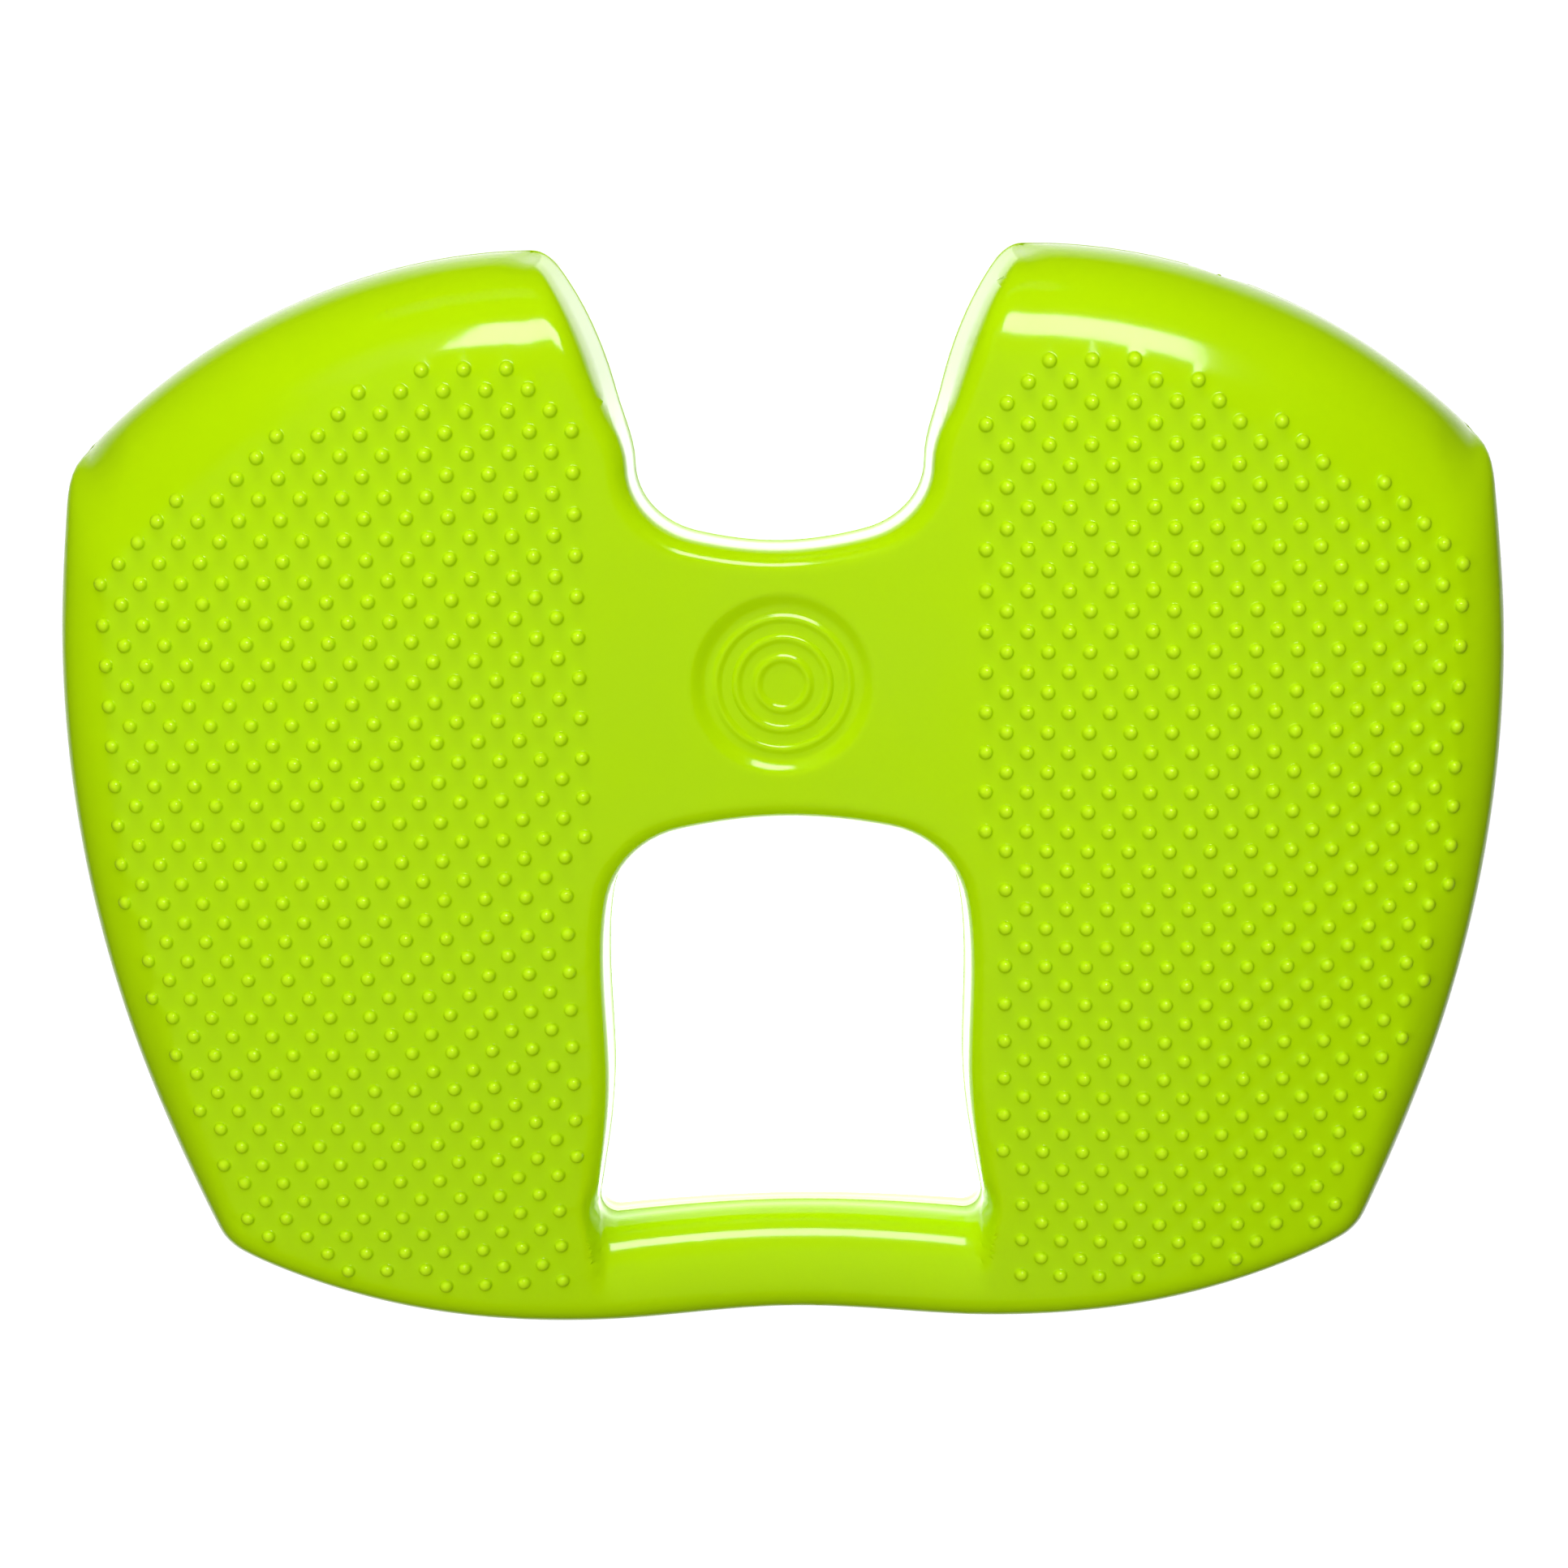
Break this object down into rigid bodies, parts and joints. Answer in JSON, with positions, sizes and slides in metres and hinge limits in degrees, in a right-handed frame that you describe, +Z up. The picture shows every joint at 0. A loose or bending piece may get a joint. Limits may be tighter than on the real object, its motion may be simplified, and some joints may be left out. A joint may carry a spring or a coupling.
{
  "type": "balance pad",
  "caption": "Air-filled butterfly-shaped balance pad with nubbed lobes, a low bridge, a rear notch, a hand opening with a round grip bar, and an inflation valve",
  "frame": {"origin": "on the floor, in the middle of the pad's length and depth", "axes": "+X along the pad's long side, towards the lobe with the valve; +Y to the rear, where the notch is; +Z up"},
  "size_m": [0.393, 0.3047, 0.0602],
  "materials": {
    "lime_pvc": "glossy",
    "lime_bush": "satin",
    "pale_rubber": "matte",
    "lime_plug": "satin"
  },
  "bodies": {
    "pad": {"pad_skin": "lime_pvc", "valve_housing": "lime_bush", "valve_core": "pale_rubber"},
    "plug": {"valve_plug": "lime_plug"}
  },
  "joints": [
    {"name": "plug_pull", "type": "slide", "parent": "pad", "child": "plug", "axis": [0.3253, 0.9456, 0], "range_m": [0, 0.015]}
  ]
}
